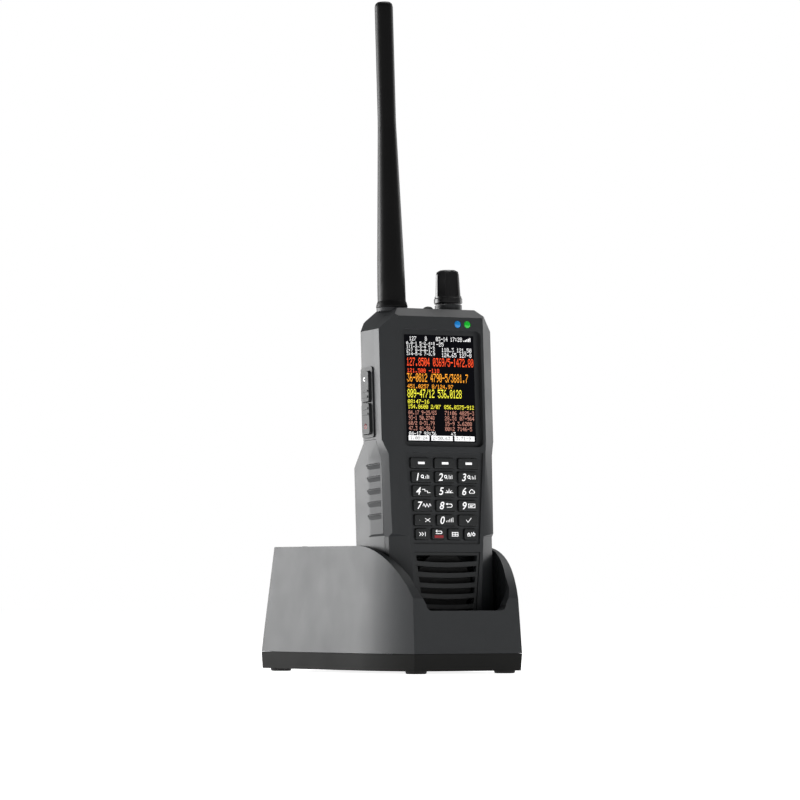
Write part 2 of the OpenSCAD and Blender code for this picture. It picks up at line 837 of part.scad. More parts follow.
module port_cover() {
    color("#1d1e1f") in_radio() {
        box(half_w - cover_t, half_w - 0.1, port_y - cover_w / 2, port_y + cover_w / 2,
            port_z - port_h / 2 - 1.9, cover_hinge_z);
        translate([half_w - hinge_r - 0.1, port_y - cover_w / 2, cover_hinge_z])
            rotate([-90, 0, 0]) cylinder(h = cover_w, r = hinge_r);
        box(half_w - cover_t - 0.5, half_w - cover_t + eps, port_y - port_w / 2 + 0.6,
            port_y + port_w / 2 - 0.6, port_z - port_h / 2 + 0.6, port_z + port_h / 2 - 2);
    }
}

// ---------------------------------------------------------------- belt clip

module clip_bracket() {
    color("#242628") in_radio() difference() {
        union() {
            box(-clip_w / 2 - clip_ear - 0.4, clip_w / 2 + clip_ear + 0.4, upper_depth + 0.02,
                upper_depth + 1.6, clip_z - 8, clip_z + 7);
            for (sx = [-1, 1])
                translate([sx * (clip_w / 2 + 0.4 + clip_ear / 2), 0, clip_z])
                    side_prism(-clip_ear / 2, clip_ear / 2) union() {
                        translate([clip_pin_y, 0]) circle(2.8);
                        translate([upper_depth + 1, -2.8]) square([clip_pin_y - upper_depth - 1, 5.6]);
                    }
        }
        translate([-wide / 4, clip_pin_y, clip_z]) rotate([0, 90, 0]) cylinder(h = wide / 2, r = clip_pin_r);
    }
}

module clip_pin() {
    color("#b5b7b9") in_radio() translate([-clip_w / 2 - clip_ear, clip_pin_y, clip_z])
        rotate([0, 90, 0]) cylinder(h = clip_w + 2 * clip_ear, r = clip_pin_r - 0.02);
}

module belt_clip() {
    top = clip_z + 9;
    low = clip_z - clip_l;
    inner = clip_pin_y + clip_gap;
    outer = inner + clip_t;
    color("#1f2122") in_radio() difference() {
        union() {
            translate([0, clip_pin_y, clip_z]) side_prism(-clip_w / 2, clip_w / 2) circle(2.6);
            box(-clip_w / 2, clip_w / 2, clip_pin_y, inner + 1, clip_z - 2.6, clip_z + 2.6);
            side_prism(-clip_w / 2, clip_w / 2) polygon([
                [inner, top], [outer - 0.6, top], [outer, top - 2], [outer, low + 9],
                [outer - 1.6, low + 4], [outer + 0.4, low + 1], [outer - 0.4, low],
                [inner - 3.4, low + 4], [inner - 3.4, low + 5], [inner, low + 12]
            ]);
        }
        translate([-wide / 4, clip_pin_y, clip_z]) rotate([0, 90, 0])
            cylinder(h = wide / 2, r = clip_pin_r + fit_gap);
        box(-5, 5, upper_depth, inner - 0.05, clip_z - 4, clip_z + 4);
    }
}

module clip_spring() {
    coils = 4;
    color("#c0c2c4") in_radio() for (i = [0:coils - 1])
        translate([-3.6 + i * 2.2, clip_pin_y, clip_z]) rotate([0, 90, 0]) difference() {
            cylinder(h = 0.8, r = 2.05);
            translate([0, 0, -1]) cylinder(h = 3, r = 1.35);
        }
}

// ---------------------------------------------------------------- keys

module key(row, col) {
    w = key_w(row, row_count(row));
    h = row_h(row);
    color("#232527") in_radio()
        translate([key_x(row, row_count(row), col), 0, key_rows_z[row]]) {
            face_prism(-key_proud, flange_y + flange_t) key_outline(w, h, 0);
            face_prism(flange_y, flange_y + flange_t)
                square([w + 2 * key_flange, h + 2 * key_flange], center = true);
        }
}

// ---------------------------------------------------------------- cradle

// Plan outline of the cradle: straight sides that curve in to a narrower front face
function turn_point(sx, a, grow) = [
    sx * (half_cw - turn_r + (turn_r + grow) * cos(a)),
    turn_y - (turn_r + grow) * sin(a)
];

module plan(grow, front_shift, back_shift) {
    left = [for (i = [0:turn_steps]) turn_point(-1, turn_a * i / turn_steps, grow)];
    right = [for (i = [turn_steps:-1:0]) turn_point(1, turn_a * i / turn_steps, grow)];
    corner = 0.6;
    intersection() {
        polygon(concat(
            [[-half_cw - grow, half_cd - corner], [-half_cw - grow, turn_y]], left, right,
            [[half_cw + grow, half_cd - corner], [half_cw + grow - corner, half_cd + grow],
             [-half_cw - grow + corner, half_cd + grow]]
        ));
        translate([-wide / 2, -half_cd + front_shift]) square([wide, 2 * half_cd - front_shift - back_shift]);
    }
}

module cradle_outer() {
    rise = rim_z - base_top;
    hull() {
        slab(base_top + 0.15) plan(0, 0, 0);
        slab(rim_z - eps) plan(-side_draft, front_draft, back_draft);
    }
}

// Side view of the space above the rim
module above_rim() {
    steps = 14;
    a_end = asin(arc_run / arc_r);
    arc = [for (i = [0:steps])
        [arc_y - arc_r * sin(a_end * i / steps), rim_z - arc_r + arc_r * cos(a_end * i / steps)]];
    polygon(concat(
        [[wide / 2, rim_z + eps], [wide / 2, wide / 2], [-wide / 2, wide / 2], [-wide / 2, corner_z]],
        [for (i = [steps:-1:0]) arc[i]],
        [[arc_y + 1, rim_z + eps]]
    ));
}

// The well that the radio drops into, along its own lean
module radio_well() {
    in_radio() translate([0, 0, -pocket_floor]) linear_extrude(wide / 2)
        mirrored([[26.5, -1], [pocket_half - 2.4, 4], [pocket_half, 8], [pocket_half, pocket_back]]);
}

// The open space ahead of the radio, narrowing to the front wall
module front_well() {
    front = -half_cd + front_draft + 2.4;
    translate([0, 0, front_pocket_floor_z]) linear_extrude(wide / 4) mirrored([
        [25.4, front], [26.8, -54.5], [28.6, -49.5], [30.2, -44.5], [pocket_half, -37], [pocket_half, -30]
    ]);
}

// The front wall is cut down to a lip, and the cut flares out to meet the side walls
module front_notch() {
    face_prism(-half_cd - 2, -half_cd + 12) {
        translate([0, lip_z + notch_r]) mirrored([
            [notch_half + 0.1, 0], [notch_top_half + 0.2, 3.2], [notch_top_half + 2.2, 8],
            [notch_top_half + 2.8, 13.4], [notch_top_half + 2.8, wide / 8]
        ]);
        translate([-notch_half + notch_r, lip_z]) square([2 * (notch_half - notch_r), notch_r + 1]);
        for (sx = [-1, 1])
            translate([sx * (notch_half - notch_r + 0.1), lip_z + notch_r]) circle(notch_r);
    }
}

module spare_bay() {
    translate([0, bay_y, bay_floor_z]) linear_extrude(wide / 4) rounded(bay_w, bay_d, 3);
}

// Room under the decks for the circuit board
module cradle_hollow() {
    box(-30, 30, 44, 54, 0, 44);
    box(-30, 30, 1, 11, 0, 40);
    difference() {
        box(-33.5, 33.5, -52, 56, 0, hollow_top);
        for (sx = [-1, 1], y = base_screw_y)
            translate([sx * base_screw_x, y, tray_floor + 0.05]) cylinder(h = 20, r = 3.2);
    }
}

module cradle_shell() {
    color("#4a4c4e") difference() {
        cradle_outer();
        side_prism(-wide / 2, wide / 2) above_rim();
        radio_well();
        front_well();
        front_notch();
        spare_bay();
        cradle_hollow();
        translate([0, half_cd - 14, socket_z]) rotate([-90, 0, 0]) cylinder(h = 30, r = 4.2);
        for (sx = [-1, 1], y = base_screw_y)
            translate([sx * base_screw_x, y, 0]) cylinder(h = hollow_top + 1.5, r = base_screw_r + fit_gap);
        for (sx = [-1, 1])
            translate([sx * light_deck_x, light_deck_y, rim_z - 30]) cylinder(h = 40, r = 1.6);
        for (x = contact_x) {
            in_radio() box(x - 1.2, x + 1.2, contact_y - 3, contact_y + 3, -12, 1);
            translate([x, bay_y, 0]) box(-1.2, 1.2, -3, 3, 0, bay_floor_z + 1);
        }
    }
}

module cradle_base() {
    color("#232424") difference() {
        hull() {
            slab(feet_h) plan(-base_draft, base_draft, base_draft);
            slab(base_top) plan(0, 0, 0);
        }
        difference() {
            box(-33, 33, -48, 54, tray_floor, base_top + 1);
            for (sx = [-1, 1], y = [-28, 28])
                translate([sx * 20, y, 0]) cylinder(h = board_z, r = 2.5);
        }
        for (sx = [-1, 1], p = [foot_front, foot_rear])
            translate([sx * p[0], p[1], 0]) cylinder(h = feet_h + 0.8, r = foot_r + 0.15);
        for (sx = [-1, 1], y = base_screw_y) {
            translate([sx * base_screw_x, y, 0]) cylinder(h = 20, r = 1.7);
            translate([sx * base_screw_x, y, 0]) cylinder(h = feet_h + 1.4, r = 3);
        }
    }
}

module cradle_feet() {
    color("#101010") for (sx = [-1, 1], p = [foot_front, foot_rear])
        translate([sx * p[0], p[1], 0]) rotate_extrude()
            polygon([[0, 0], [foot_r - 0.5, 0], [foot_r, 0.5], [foot_r, feet_h + 0.7], [0, feet_h + 0.7]]);
}

module cradle_screws() {
    color("#7c7e80") for (sx = [-1, 1], y = base_screw_y)
        translate([sx * base_screw_x, y, feet_h]) difference() {
            union() {
                translate([0, 0, 0.2]) cylinder(h = 1.1, r = 2.7);
                cylinder(h = 9.6, r = base_screw_r);
            }
            translate([0, 0, -1]) cylinder(h = 2, r = 1.1, $fn = 6);
        }
}

module charger_board() {
    color("#1d5a36") {
        box(-26, 26, -34, 34, board_z, board_z + board_t);
        box(-12, 12, -6, 8, board_z + board_t, 9.2);
    }
}

module charging_contacts() {
    color("#c9a35a") for (x = contact_x) {
        in_radio() translate([x, contact_y, 0]) {
            box(-0.9, 0.9, -2.6, 2.6, -0.5, 0.02);
            box(-0.9, 0.9, -2.6, -2, -7.1, -0.4);
        }
        translate([x, bay_y, bay_floor_z]) {
            box(-0.9, 0.9, -2.6, 2.6, -0.4, 0.8);
            box(-0.9, 0.9, -2.6, -2, board_z + board_t - bay_floor_z, -0.3);
        }
    }
}

module power_socket() {
    color("#1a1a1a") translate([0, half_cd - 16, socket_z]) {
        rotate([-90, 0, 0]) difference() {
            union() {
                cylinder(h = 13.6, r = 4.1);
                translate([-5, -5, -4]) cube([10, 10, 6]);
            }
            translate([0, 0, 3]) cylinder(h = 12, r = 2.75);
        }
        rotate([-90, 0, 0]) cylinder(h = 12.4, r = 1);
    }
}

module charge_lights() {
    color("#3fbf55") for (sx = [-1, 1])
        translate([sx * light_deck_x, light_deck_y, rim_z - 18]) cylinder(h = 18.3, r = 1.5);
}

cradle_shell();
cradle_base();
cradle_feet();
cradle_screws();
charger_board();
charging_contacts();
power_socket();
charge_lights();
front_case();
rear_case();
case_gasket();
case_screws();
display_window();
display_panel();
keypad_mat();
main_board();
speaker_grille();
speaker();
status_lights();
antenna_socket();
encoder_body();
earphone_socket();
side_button_frame();
usb_socket();
clip_bracket();
battery_case();
battery_cells();
battery_contacts();
battery_latch();
antenna_ferrule();
antenna_whip();
encoder_shaft();
volume_knob();
jack_cap();
port_cover();
belt_clip();
clip_pin();
clip_spring();
side_button(side_button_z[0], -1);  // side_button_upper
side_button(side_button_z[1], 1);  // side_button_lower
key(0, 0);  // key_soft_left
key(0, 1);  // key_soft_middle
key(0, 2);  // key_soft_right
key(1, 0);  // key_1
key(1, 1);  // key_2
key(1, 2);  // key_3
key(2, 0);  // key_4
key(2, 1);  // key_5
key(2, 2);  // key_6
key(3, 0);  // key_7
key(3, 1);  // key_8
key(3, 2);  // key_9
key(4, 0);  // key_point
key(4, 1);  // key_0
key(4, 2);  // key_enter
key(5, 0);  // key_skip
key(5, 1);  // key_replay
key(5, 2);  // key_service
key(5, 3);  // key_power
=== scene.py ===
import json
import math

import bmesh
import bpy
from mathutils import Matrix, Vector


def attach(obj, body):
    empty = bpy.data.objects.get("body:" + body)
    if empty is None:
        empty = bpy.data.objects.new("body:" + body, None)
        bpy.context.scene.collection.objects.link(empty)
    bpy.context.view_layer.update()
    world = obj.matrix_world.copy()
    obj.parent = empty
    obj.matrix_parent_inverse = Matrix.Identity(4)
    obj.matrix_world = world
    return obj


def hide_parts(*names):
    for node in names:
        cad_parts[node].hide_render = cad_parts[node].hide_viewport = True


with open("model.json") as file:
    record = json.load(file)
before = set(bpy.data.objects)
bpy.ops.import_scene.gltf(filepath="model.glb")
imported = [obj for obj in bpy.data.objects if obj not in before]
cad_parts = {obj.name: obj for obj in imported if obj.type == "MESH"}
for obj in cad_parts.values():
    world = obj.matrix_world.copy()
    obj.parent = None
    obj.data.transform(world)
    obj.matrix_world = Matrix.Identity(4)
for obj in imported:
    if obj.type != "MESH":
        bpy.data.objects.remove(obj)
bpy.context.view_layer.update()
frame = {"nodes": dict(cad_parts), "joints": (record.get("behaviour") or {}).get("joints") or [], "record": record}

# ------------------------------------------------------------------ frame of the radio

MM = 0.001
SCENE = bpy.context.scene
JOINTS = {joint["name"]: joint for joint in frame["joints"]}
BODY_OF = {
    node: body
    for body, nodes in frame["record"]["behaviour"]["bodies"].items()
    for node in nodes
}
SLOT_OF = {part["node"]: part["material_slot"] for part in frame["record"]["subparts"]}

# The radio leans back in its cradle. Its own axes are x across, y into the body and z up it,
# in millimetres, from the bottom middle of its front face.
UP = Vector(JOINTS["radio_lift"]["axis"]).normalized()
ACROSS = Vector((1, 0, 0))
DEEP = UP.cross(ACROSS)
ANTENNA_PLACE = Vector((-19, 12.9, 158))
AXES = Matrix((ACROSS, DEEP, UP)).transposed()
ORIGIN = Vector(JOINTS["antenna_turn"]["pos_m"]) - AXES @ ANTENNA_PLACE * MM
RADIO = Matrix.Translation(ORIGIN) @ (AXES * MM).to_4x4()
TO_RADIO = RADIO.inverted()


def local_box(node):
    """Lowest and highest corner of a CAD node in the radio's own axes, in millimetres."""
    points = [TO_RADIO @ vertex.co for vertex in frame["nodes"][node].data.vertices]
    low = Vector(min(point[axis] for point in points) for axis in range(3))
    high = Vector(max(point[axis] for point in points) for axis in range(3))
    return low, high


# ------------------------------------------------------------------ materials

def colour(code):
    """A hex colour as the eye sees it, turned into linear light."""
    values = [int(code[i:i + 2], 16) / 255 for i in (1, 3, 5)]
    linear = [v / 12.92 if v <= 0.04045 else ((v + 0.055) / 1.055) ** 2.4 for v in values]
    return (*linear, 1.0)


def shade(rgba, factor):
    return (*[min(1.0, v * factor) for v in rgba[:3]], 1.0)


def per(size_mm):
    """Texture scale for a pattern whose repeat is this many millimetres."""
    return 1000 / size_mm


def add(tree, kind, inputs=(), **settings):
    """One node, with its settings, its values and its links."""
    made = tree.nodes.new(kind)
    for key, value in settings.items():
        setattr(made, key, value)
    for key, value in dict(inputs).items():
        if isinstance(value, bpy.types.NodeSocket):
            tree.links.new(value, made.inputs[key])
        else:
            made.inputs[key].default_value = value
    return made


def new_material(name):
    material = bpy.data.materials.new(name)
    material.use_nodes = True
    tree = material.node_tree
    tree.nodes.clear()
    return material, tree


def surface(tree, **inputs):
    """The Principled surface of a material and its output."""
    shader = add(tree, "ShaderNodeBsdfPrincipled", {k.replace("_", " "): v for k, v in inputs.items()})
    add(tree, "ShaderNodeOutputMaterial", {"Surface": shader.outputs[0]})
    return shader


def moulded(name, code, rough, grain_mm, depth_mm, spread=0.10, specular=0.5):
    """A moulded plastic or rubber: spark-eroded grain, faint flow marks in its colour,
    and a gloss that changes a little from place to place."""
    material, tree = new_material(name)
    base = colour(code)
    place = add(tree, "ShaderNodeTexCoord").outputs["Object"]
    grain = add(tree, "ShaderNodeTexNoise", {"Vector": place, "Scale": per(grain_mm), "Detail": 3.0,
                                             "Roughness": 0.6})
    flow = add(tree, "ShaderNodeTexNoise", {"Vector": place, "Scale": per(14), "Detail": 2.0})
    tint = add(tree, "ShaderNodeMix", {"Factor": flow.outputs["Fac"], "A": shade(base, 1 - spread),
                                       "B": shade(base, 1 + spread)}, data_type="RGBA")
    speck = add(tree, "ShaderNodeMix", {"Factor": grain.outputs["Fac"], "A": shade(base, 0.82),
                                        "B": shade(base, 1.18)}, data_type="RGBA")
    both = add(tree, "ShaderNodeMix", {"Factor": 0.5, "A": tint.outputs["Result"],
                                       "B": speck.outputs["Result"]}, data_type="RGBA")
    gloss = add(tree, "ShaderNodeMapRange", {"Value": flow.outputs["Fac"], "To Min": rough - 0.05,
                                             "To Max": rough + 0.05})
    bump = add(tree, "ShaderNodeBump", {"Height": grain.outputs["Fac"], "Strength": 0.6,
                                        "Distance": depth_mm * MM})
    surface(tree, Base_Color=both.outputs["Result"], Roughness=gloss.outputs["Result"],
            Normal=bump.outputs["Normal"], IOR=1.5, Specular_IOR_Level=specular)
    return material


def metal(name, code, rough, line_mm=0.4):
    """A plated or turned metal part with fine drawn lines."""
    material, tree = new_material(name)
    place = add(tree, "ShaderNodeTexCoord").outputs["Object"]
    lines = add(tree, "ShaderNodeTexNoise", {"Vector": place, "Scale": per(line_mm), "Detail": 4.0})
    tint = add(tree, "ShaderNodeMix", {"Factor": lines.outputs["Fac"], "A": shade(colour(code), 0.85),
                                       "B": shade(colour(code), 1.1)}, data_type="RGBA")
    gloss = add(tree, "ShaderNodeMapRange", {"Value": lines.outputs["Fac"], "To Min": rough - 0.06,
                                             "To Max": rough + 0.08})
    surface(tree, Base_Color=tint.outputs["Result"], Roughness=gloss.outputs["Result"], Metallic=1.0)
    return material


def glossy(name, code, rough, coat=0.0, specular=0.5):
    """A polished plastic or glass face: smooth, with only faint smears in its gloss."""
    material, tree = new_material(name)
    place = add(tree, "ShaderNodeTexCoord").outputs["Object"]
    smear = add(tree, "ShaderNodeTexNoise", {"Vector": place, "Scale": per(9), "Detail": 3.0})
    gloss = add(tree, "ShaderNodeMapRange", {"Value": smear.outputs["Fac"], "To Min": rough * 0.7,
                                             "To Max": rough * 1.5})
    tint = add(tree, "ShaderNodeMix", {"Factor": smear.outputs["Fac"], "A": shade(colour(code), 0.9),
                                       "B": shade(colour(code), 1.1)}, data_type="RGBA")
    surface(tree, Base_Color=tint.outputs["Result"], Roughness=gloss.outputs["Result"], IOR=1.52,
            Specular_IOR_Level=specular, Coat_Weight=coat, Coat_Roughness=0.03)
    return material


def lit(name, code, glow, pitch_mm=0.15):
    """A lit element of the display, and also key ink given a painted glow with no lamp behind it: its light
    is a little weaker between the rows of its picture elements, drawn coarser than real so that it can be seen."""
    material, tree = new_material(name)
    place = add(tree, "ShaderNodeTexCoord").outputs["Object"]
    rows = add(tree, "ShaderNodeTexWave", {"Vector": place, "Scale": per(pitch_mm) / 20},
               bands_direction="Z")
    tint = add(tree, "ShaderNodeMix", {"Factor": rows.outputs["Fac"], "A": shade(colour(code), 0.8),
                                       "B": colour(code)}, data_type="RGBA")
    surface(tree, Base_Color=tint.outputs["Result"], Roughness=0.45,
            Emission_Color=tint.outputs["Result"], Emission_Strength=glow)
    return material


def lens(name, code, glow):
    """A small domed light guide of tinted clear plastic over a light."""
    material, tree = new_material(name)
    place = add(tree, "ShaderNodeTexCoord").outputs["Object"]
    cloud = add(tree, "ShaderNodeTexNoise", {"Vector": place, "Scale": per(1.5), "Detail": 2.0})
    tint = add(tree, "ShaderNodeMix", {"Factor": cloud.outputs["Fac"], "A": shade(colour(code), 0.75),
                                       "B": shade(colour(code), 1.15)}, data_type="RGBA")
    surface(tree, Base_Color=tint.outputs["Result"], Roughness=0.12, IOR=1.49,
            Emission_Color=tint.outputs["Result"], Emission_Strength=glow, Coat_Weight=0.5)
    return material


MATERIALS = {
    # Charcoal ABS with a fine spark-eroded grain: matte, paler where a wide light grazes it
    "case_plastic": moulded("charcoal moulded ABS", "#2c2e30", 0.46, 0.45, 0.02),
    "case_rear_plastic": moulded("charcoal moulded ABS, rear", "#2a2c2e", 0.47, 0.45, 0.02),
    "battery_plastic": moulded("charcoal moulded ABS, battery", "#2c2e30", 0.46, 0.45, 0.02),
    # A coarser grain on the cradle, so that its lit side sparkles faintly
    "cradle_plastic": moulded("charcoal textured ABS", "#2d2f31", 0.50, 0.7, 0.045),
    "base_plastic": moulded("dark textured ABS tray", "#1a1a19", 0.75, 0.7, 0.04, 0.10, 0.2),
    # Soft black rubbers: satin, with almost no highlight
    "foot_rubber": moulded("black foot rubber", "#101010", 0.75, 0.6, 0.03),
    "antenna_rubber": moulded("black whip rubber", "#0a0a0a", 0.42, 0.5, 0.008, 0.06, 0.25),
    "button_rubber": moulded("dark grey button rubber", "#252728", 0.52, 0.4, 0.015),
    "key_rubber": moulded("silicone key rubber", "#202223", 0.50, 0.4, 0.012),
    "gasket_rubber": moulded("seal rubber", "#141414", 0.7, 0.5, 0.02),
    "mat_silicone": moulded("grey silicone mat", "#8b8d90", 0.6, 0.6, 0.02),
    "grille_plastic": moulded("dark grille ABS", "#2a2c2d", 0.48, 0.4, 0.015),
    "speaker_cone": moulded("black paper cone", "#0c0c0c", 0.85, 0.5, 0.05),
    "socket_plastic": moulded("black socket plastic", "#161617", 0.5, 0.5, 0.01),
    "black_screw": metal("black oxide steel", "#2a2a2b", 0.38),
    "screw_steel": metal("zinc plated steel", "#b8babd", 0.3),
    "plated_metal": metal("nickel plate", "#c4c5c6", 0.25),
    "contact_brass": metal("gold plated brass", "#cfa654", 0.28),
    "board_laminate": moulded("green board laminate", "#1d5a36", 0.4, 0.8, 0.01),
    "cell_sleeve": glossy("shrink sleeve", "#3d6f9c", 0.35),
    # Glossy black acrylic knob and window
    "knob_gloss": glossy("gloss black knob plastic", "#08080a", 0.3, 0.1),
    "window_gloss": glossy("tinted acrylic window", "#010209", 0.08, 0.0, 0.3),
    "window_frame": moulded("charcoal window frame", "#2a2c2e", 0.42, 0.4, 0.01),
    "display_module": glossy("display module", "#050a1c", 0.3),
    "charge_lens": lens("smoked charge light", "#3a1d16", 0.0),
    "light_blue": lens("blue light guide", "#0a78c0", 0.45),
    "light_green": lens("green light guide", "#0aae28", 0.45),
    # Key ink: white and red print given a painted glow, emission that stands in for light, though no lamp lights
    # it
    "legend_white": lit("white key ink with painted glow", "#f2f2f2", 0.75),
    "legend_red": lit("red key ink with painted glow", "#9a2a30", 0.25),
    "screen_white": lit("white display element", "#e6e6e6", 1.0),
    "screen_red": lit("red display element", "#f04a1e", 1.0),
    "screen_orange": lit("orange display element", "#ee9a24", 1.0),
    "screen_yellow": lit("yellow display element", "#e8e23a", 1.0),
    "screen_rose": lit("rose display element", "#b98070", 0.9),
}


# ------------------------------------------------------------------ making pieces

def publish(mesh, name, body, slot, replaced=(), material=None):
    """Puts a finished mesh in the scene as one named piece that rides on its body."""
    mesh.materials.clear()
    mesh.materials.append(material or MATERIALS[slot])
    piece = bpy.data.objects.new(name, mesh)
    SCENE.collection.objects.link(piece)
    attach(piece, body)
    if replaced:
        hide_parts(*replaced)
    return piece


def evaluated_mesh(blank):
    """The mesh that an object's modifiers give, with the object then thrown away."""
    bpy.context.view_layer.update()
    graph = bpy.context.evaluated_depsgraph_get()
    mesh = bpy.data.meshes.new_from_object(blank.evaluated_get(graph))
    bpy.data.objects.remove(blank)
    return mesh


WELD = 0.00002


def rounded_edges(mesh, width_mm, segments=2, angle=24, weight=60):
    """A mesh with its edges rounded to this width and its flat faces kept flat in the light."""
    blank = bpy.data.objects.new("blank", mesh)
    SCENE.collection.objects.link(blank)
    bevel = blank.modifiers.new("edges", "BEVEL")
    bevel.width = width_mm * MM
    bevel.segments = segments
    bevel.limit_method = "ANGLE"
    bevel.angle_limit = math.radians(angle)
    bevel.use_clamp_overlap = True
    shading = blank.modifiers.new("shading", "WEIGHTED_NORMAL")
    shading.weight = weight
    shading.keep_sharp = True
    mesh.shade_smooth()
    return evaluated_mesh(blank)


def skin(node, width_mm, segments=2, angle=24, flat_angle=0.6, material=None):
    """A CAD node's shape with moulded, rounded edges, standing in for the node."""
    mesh = frame["nodes"][node].data.copy()
    shape = bmesh.new()
    shape.from_mesh(mesh)
    bmesh.ops.remove_doubles(shape, verts=shape.verts[:], dist=WELD)
    bmesh.ops.dissolve_limit(shape, angle_limit=math.radians(flat_angle), verts=shape.verts[:],
                             edges=shape.edges[:])
    shape.to_mesh(mesh)
    shape.free()
    mesh = rounded_edges(mesh, width_mm, segments, angle)
    finish = MATERIALS[material] if material else None
    return publish(mesh, node + "_skin", BODY_OF[node], SLOT_OF[node], [node], finish)


SKINS = {
    "cradle_shell": 0.8, "cradle_base": 0.8, "cradle_feet": 0.4,
    "front_case": 0.35, "rear_case": 0.45, "battery_case": 0.45,
    "speaker_grille": 0.45, "side_button_frame": 0.3,
    "side_button_upper": 0.3, "side_button_lower": 0.3,
    "clip_bracket": 0.3, "belt_clip": 0.4, "battery_latch": 0.25, "port_cover": 0.3,
    "jack_cap": 0.2, "antenna_whip": 0.25, "volume_knob": 0.35, "case_screws": 0.12, "cradle_screws": 0.15,
}


def make_skins():
    for node, width_mm in SKINS.items():
        skin(node, width_mm)
    for node in frame["nodes"]:
        if node.startswith("key_"):
            skin(node, 0.3)


def dress_cad_nodes():
    """The CAD nodes that stay, most of them inside, take their own finish."""
    for node, shown in frame["nodes"].items():
        if not shown.hide_render:
            shown.data.materials.clear()
            shown.data.materials.append(MATERIALS[SLOT_OF[node]])


# ------------------------------------------------------------------ raised ink and display marks

# Dot patterns of the display's figures, five dots wide and seven high, from the top row down
FIGURES = {
    "0": "01110 10001 10011 10101 11001 10001 01110", "1": "00100 01100 00100 00100 00100 00100 01110",
    "2": "01110 10001 00001 00110 01000 10000 11111", "3": "11111 00010 00100 00010 00001 10001 01110",
    "4": "00010 00110 01010 10010 11111 00010 00010", "5": "11111 10000 11110 00001 00001 10001 01110",
    "6": "00110 01000 10000 11110 10001 10001 01110", "7": "11111 00001 00010 00100 01000 01000 01000",
    "8": "01110 10001 10001 01110 10001 10001 01110", "9": "01110 10001 10001 01111 00001 00010 01100",
    ".": "00000 00000 00000 00000 00000 01100 01100", ":": "00000 01100 01100 00000 01100 01100 00000",
    "-": "00000 00000 00000 11111 00000 00000 00000", "/": "00001 00001 00010 00100 01000 10000 10000",
    "+": "00000 00100 00100 11111 00100 00100 00000", " ": "00000 00000 00000 00000 00000 00000 00000",
}


def figure_pads(text, x, z, height, pitch):
    """Pads for a row of figures: each run of lit dots in a row is one pad. z is the row's top."""
    column = pitch / 6
    row_h = height / 7
    pads = []
    for place, letter in enumerate(text):
        for row, dots in enumerate(FIGURES[letter].split()):
            start = 0
            while start < 5:
                run = len(dots[start:]) - len(dots[start:].lstrip("1"))
                if run:
                    left = x + place * pitch + start * column
                    pads.append((left + run * column / 2, z - (row + 0.5) * row_h,
                                 run * column * 0.96, row_h * 0.92))
                start += max(run, 1)
    return pads


def pad_nodes():
    """Sets a raised pad on every point, of the size kept with the point."""
    tree = bpy.data.node_groups.new("raised pads", "GeometryNodeTree")
    tree.interface.new_socket("Points", in_out="INPUT", socket_type="NodeSocketGeometry")
    tree.interface.new_socket("Thickness", in_out="INPUT", socket_type="NodeSocketFloat")
    tree.interface.new_socket("Ink", in_out="INPUT", socket_type="NodeSocketMaterial")
    tree.interface.new_socket("Pads", in_out="OUTPUT", socket_type="NodeSocketGeometry")
    given = add(tree, "NodeGroupInput").outputs
    stored = add(tree, "GeometryNodeInputNamedAttribute", {"Name": "size"}, data_type="FLOAT_VECTOR")
    split = add(tree, "ShaderNodeSeparateXYZ", {0: stored.outputs["Attribute"]}).outputs
    size = add(tree, "ShaderNodeCombineXYZ", {"X": split["X"], "Y": given["Thickness"], "Z": split["Z"]})
    pad = add(tree, "GeometryNodeMeshCube")
    pads = add(tree, "GeometryNodeInstanceOnPoints", {"Points": given["Points"], "Scale": size.outputs[0],
                                                      "Instance": pad.outputs["Mesh"]})
    real = add(tree, "GeometryNodeRealizeInstances", {"Geometry": pads.outputs[0]})
    inked = add(tree, "GeometryNodeSetMaterial", {"Geometry": real.outputs[0], "Material": given["Ink"]})
    add(tree, "NodeGroupOutput", {0: inked.outputs[0]})
    return tree


PAD_NODES = pad_nodes()
PAD_THICK = 0.05
FIGURE_SHARE = 0.72      # a figure's height as a share of the type size
FIGURE_WEIGHT = 0.012


def make_pads(name, body, slot, pads, y):
    """One piece of raised pads at depth y. Each pad is its middle x and z, its width and height."""
    mesh = bpy.data.meshes.new("points")
    mesh.from_pydata([(x, y, z) for x, z, _, _ in pads], [], [])
    sizes = mesh.attributes.new("size", "FLOAT_VECTOR", "POINT")
    for item, (_, _, wide, tall) in zip(sizes.data, pads):
        item.vector = (wide, 0, tall)
    blank = bpy.data.objects.new("blank", mesh)
    SCENE.collection.objects.link(blank)
    modifier = blank.modifiers.new("pads", "NODES")
    modifier.node_group = PAD_NODES
    for socket in PAD_NODES.interface.items_tree:
        if socket.name == "Thickness":
            modifier[socket.identifier] = PAD_THICK
        if socket.name == "Ink":
            modifier[socket.identifier] = MATERIALS[slot]
    made = evaluated_mesh(blank)
    made.transform(RADIO)
    publish(made, name, body, slot)


def stroke_shape(shape, paths, width, y, thick=PAD_THICK):
    """Adds to a bmesh a flat ribbon along each path of (x, z) corners."""
    for path in paths:
        for (x0, z0), (x1, z1) in zip(path, path[1:]):
            length = math.hypot(x1 - x0, z1 - z0)
            turn = Matrix.Rotation(-math.atan2(z1 - z0, x1 - x0), 4, "Y")
            place = Matrix.Translation(((x0 + x1) / 2, y, (z0 + z1) / 2)) @ turn
            size = Matrix.Diagonal((length + width, thick, width, 1))
            bmesh.ops.create_cube(shape, size=1, matrix=place @ size)


